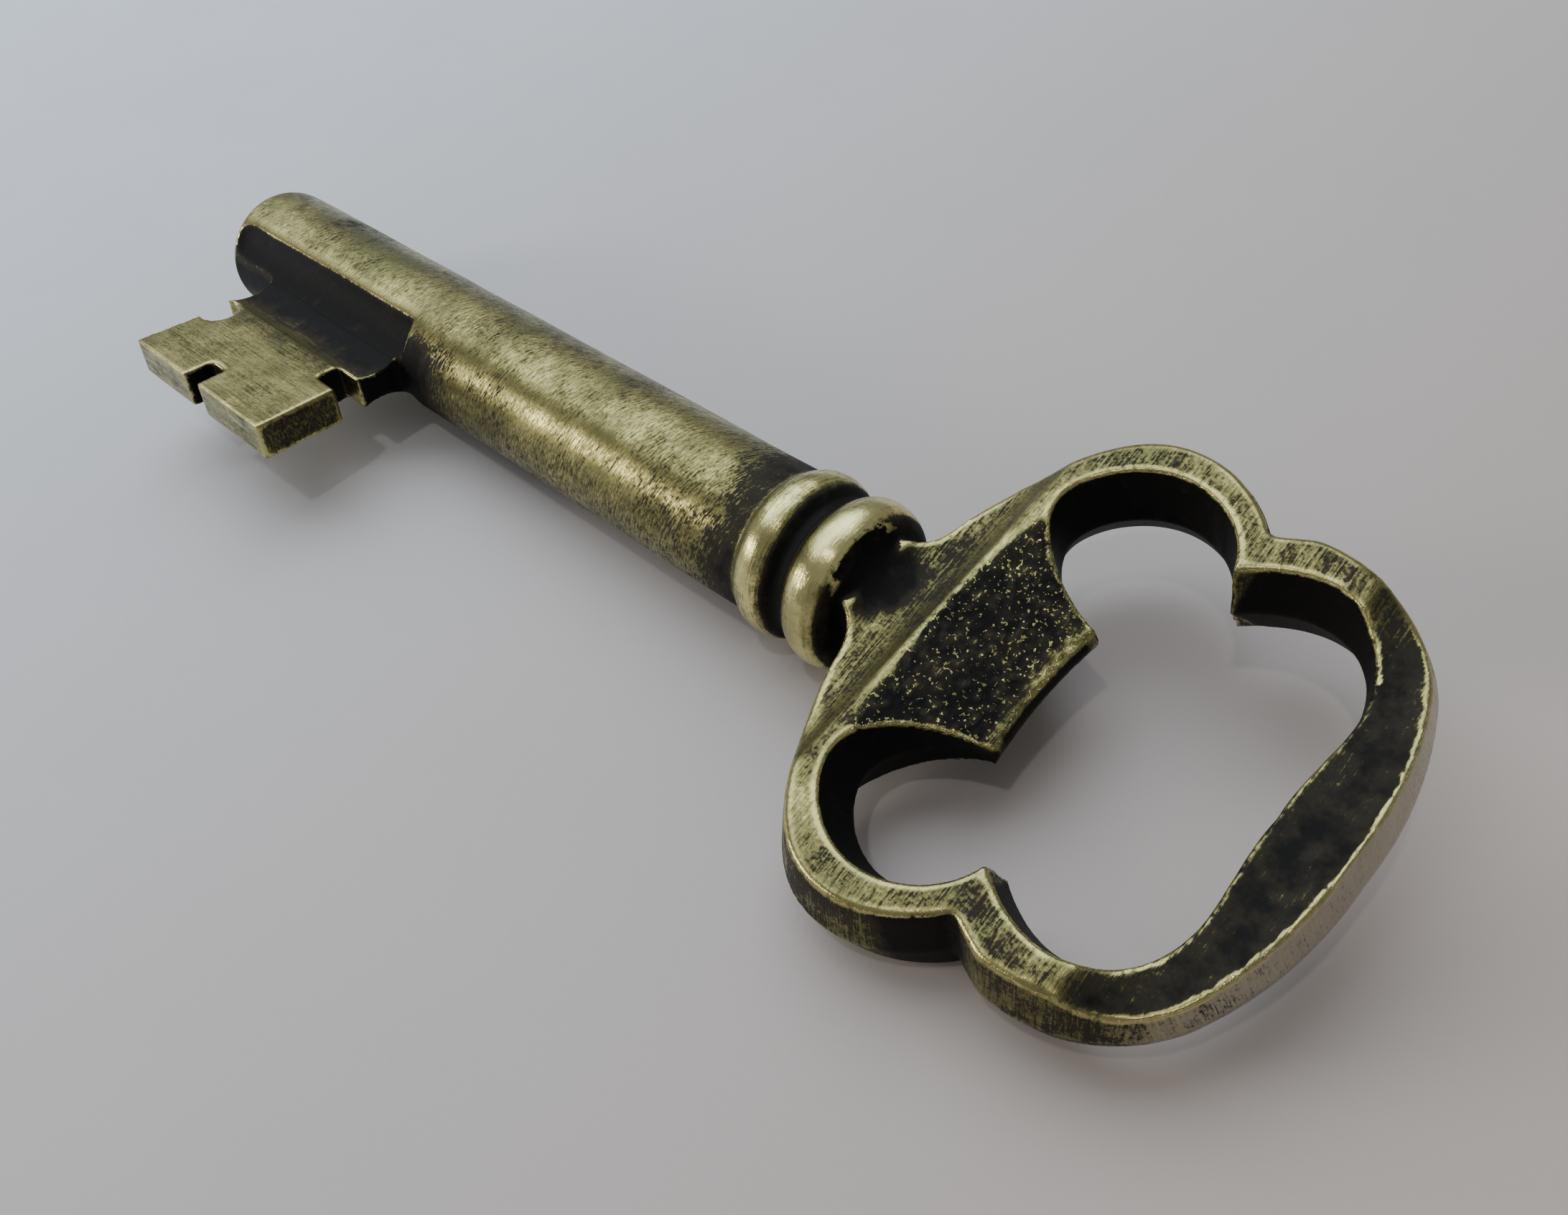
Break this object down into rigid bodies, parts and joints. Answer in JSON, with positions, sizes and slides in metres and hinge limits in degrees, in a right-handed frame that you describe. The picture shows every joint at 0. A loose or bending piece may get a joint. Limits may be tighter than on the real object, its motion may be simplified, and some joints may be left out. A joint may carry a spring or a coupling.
{
  "type": "radiator bleed key",
  "caption": "Brass radiator bleed key with a square socket in a round shank, a notched side bit, a ringed collar and an openwork bow handle.",
  "frame": {"origin": "centre of the open tip end of the shank", "axes": "+X along the shank from the tip to the bow; the bow lies in the XY plane, +Z is its upper face; the bit stands out towards -Y, rolled a little up"},
  "size_m": [0.098, 0.0348, 0.0116],
  "materials": {
    "shank_brass": "satin olive-gold brass with a dark patina",
    "bit_brass": "satin brass with fine scratches and dark specks",
    "collar_brass": "polished brass with dark grooves",
    "bow_brass": "cast brass, bright worn rims and blackened recesses"
  },
  "bodies": {
    "root": {"shank": "shank_brass", "bit": "bit_brass", "collar_front_ring": "collar_brass", "collar_rear_ring": "collar_brass", "bow": "bow_brass"}
  },
  "joints": []
}
